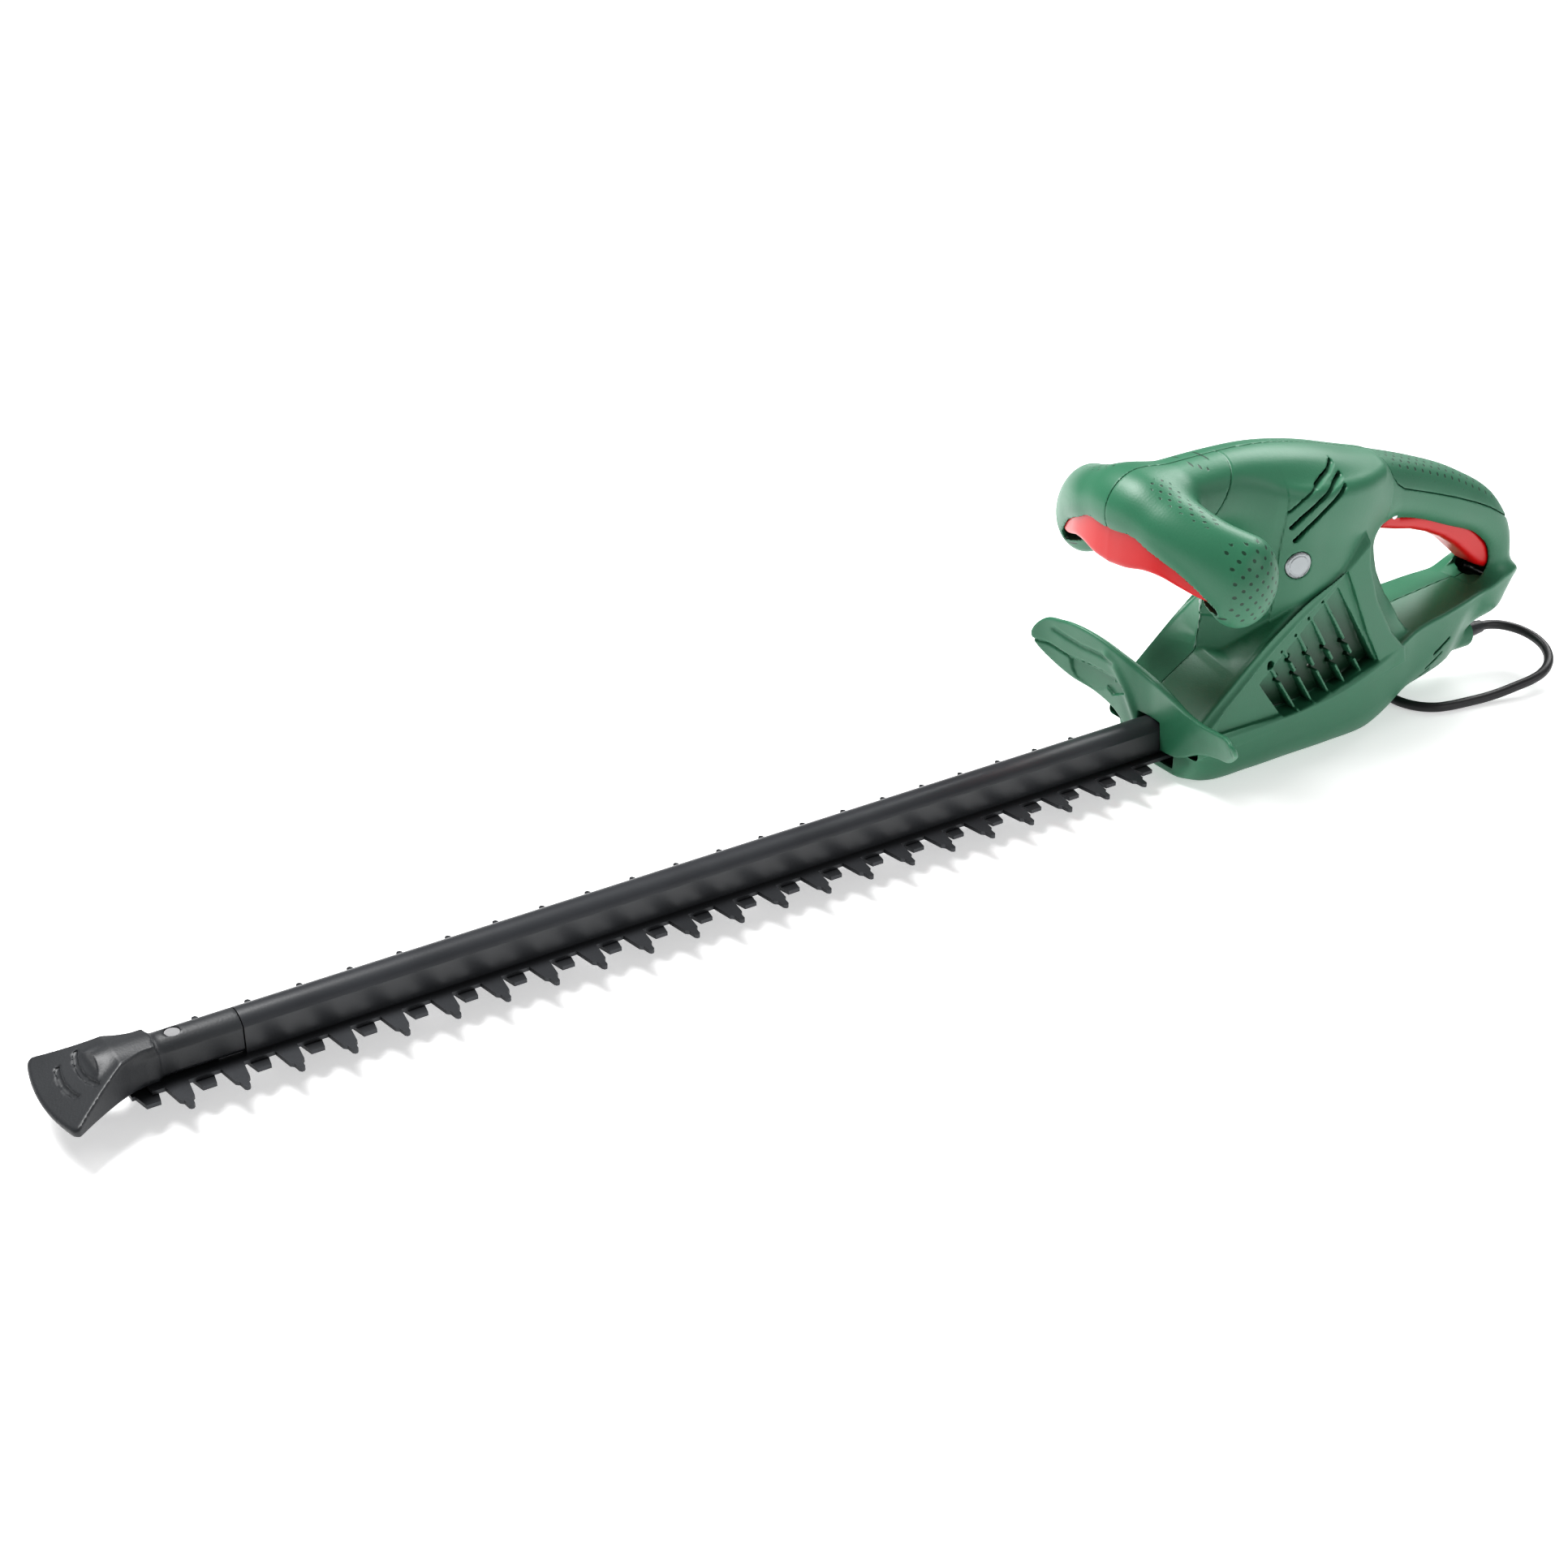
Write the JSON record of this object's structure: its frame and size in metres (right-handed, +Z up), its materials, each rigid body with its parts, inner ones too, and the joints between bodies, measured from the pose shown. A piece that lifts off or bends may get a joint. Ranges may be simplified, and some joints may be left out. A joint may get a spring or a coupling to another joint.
{
  "type": "hedge trimmer",
  "caption": "Corded hedge trimmer: two-shell body with front bow handle and rear D handle, hand guard and a long double-sided reciprocating blade under a rail.",
  "frame": {"origin": "centre of the flat base, on the ground below the motor", "axes": "-X along the blade towards its tip, +Y the right-hand side seen by the user, +Z up"},
  "size_m": [0.8887, 0.1652, 0.1828],
  "materials": {
    "green_plastic": "moulded nylon, fine satin grain",
    "soft_grip": "soft grip rubber with raised dots",
    "red_plastic": "gloss",
    "black_plastic": "satin",
    "rail_paint": "satin black paint",
    "blade_black": "blackened steel, oiled",
    "zinc_steel": "zinc plated",
    "bright_steel": "ground",
    "cast_alloy": "die-cast",
    "fan_plastic": "natural nylon",
    "lamination": "stacked laminations",
    "copper": "enamelled wire and copper bars",
    "brass": "bright",
    "carbon": "matt carbon",
    "film_yellow": "film capacitor case",
    "badge": "plain disc, satin",
    "cord_pvc": "soft satin sheath",
    "lead_sheath": "matt",
    "plug_rubber": "satin"
  },
  "bodies": {
    "body": {"housing_left": "green_plastic", "housing_right": "green_plastic", "front_handle_left": "green_plastic", "front_handle_right": "green_plastic", "hand_guard": "green_plastic", "base_cover": "black_plastic", "cover_screws": "zinc_steel", "rear_grip_inlay": "soft_grip", "column_badge": "badge", "rail_cover": "rail_paint", "support_bar": "zinc_steel", "mount_block": "zinc_steel", "guard_comb": "blade_black", "guide_screws": "zinc_steel", "guide_washers": "zinc_steel", "lock_nuts": "zinc_steel", "tip_protector": "black_plastic", "tip_screw": "zinc_steel", "gear_plate": "cast_alloy", "plate_screws": "zinc_steel", "gear_axle": "bright_steel", "axle_clip": "zinc_steel", "lower_bearing": "bright_steel", "upper_bearing": "bright_steel", "stator_core": "lamination", "field_coils": "copper", "brush_bridge": "black_plastic", "brush_holders": "brass", "carbon_brushes": "carbon", "suppressor": "film_yellow", "housing_screws": "zinc_steel", "rear_switch": "black_plastic", "trigger_pin": "zinc_steel", "trigger_spring": "zinc_steel", "front_switch": "black_plastic", "bar_springs": "zinc_steel", "cord_clamp": "black_plastic", "strain_relief": "black_plastic", "inner_lead": "lead_sheath", "power_cord": "cord_pvc", "plug_body": "plug_rubber", "plug_pins": "zinc_steel"},
    "drive": {"drive_gear": "bright_steel", "crank_pin": "bright_steel"},
    "rotor": {"pinion": "bright_steel", "motor_shaft": "bright_steel", "cooling_fan": "fan_plastic", "armature_core": "lamination", "armature_winding": "copper", "commutator": "copper"},
    "blade": {"cutter_blade": "blade_black", "drive_yoke": "zinc_steel", "yoke_rivets": "zinc_steel"},
    "trigger": {"rear_trigger": "red_plastic"},
    "rear_plunger_body": {"rear_plunger": "red_plastic"},
    "switch_bar": {"front_switch_bar": "red_plastic"},
    "front_plunger_body": {"front_plunger": "red_plastic"}
  },
  "joints": [
    {"name": "gear_spin", "type": "hinge", "parent": "body", "child": "drive", "pos_m": [-0.018, 0, 0], "axis": [0, 0, 1], "continuous": true},
    {"name": "rotor_spin", "type": "hinge", "parent": "body", "child": "rotor", "pos_m": [0.012, 0, 0], "axis": [0, 0, 1], "continuous": true},
    {"name": "blade_slide", "type": "slide", "parent": "body", "child": "blade", "axis": [1, 0, 0], "range_m": [-0.0125, 0.0125]},
    {"name": "trigger_swing", "type": "hinge", "parent": "body", "child": "trigger", "pos_m": [0.078, 0, 0.1205], "axis": [0, -1, 0], "range_deg": [0, 6], "stiffness_Nm_per_rad": 3, "springref_deg": -4.58, "deforming": ["trigger_spring"]},
    {"name": "rear_plunger_slide", "type": "slide", "parent": "body", "child": "rear_plunger_body", "axis": [0, 0, 1], "range_m": [0, 0.00296]},
    {"name": "bar_press", "type": "slide", "parent": "body", "child": "switch_bar", "axis": [0, 0, 1], "range_m": [0, 0.004], "stiffness_N_per_m": 800, "springref_m": -0.005, "deforming": ["bar_springs"]},
    {"name": "front_plunger_slide", "type": "slide", "parent": "body", "child": "front_plunger_body", "axis": [0, 0, 1], "range_m": [0, 0.00402]}
  ],
  "couplings": [
    {"joint": "rotor_spin", "follows": "gear_spin", "ratio": -5},
    {"joint": "rear_plunger_slide", "follows": "trigger_swing", "m_per_rad": 0.028},
    {"joint": "front_plunger_slide", "follows": "bar_press", "ratio": 1}
  ]
}
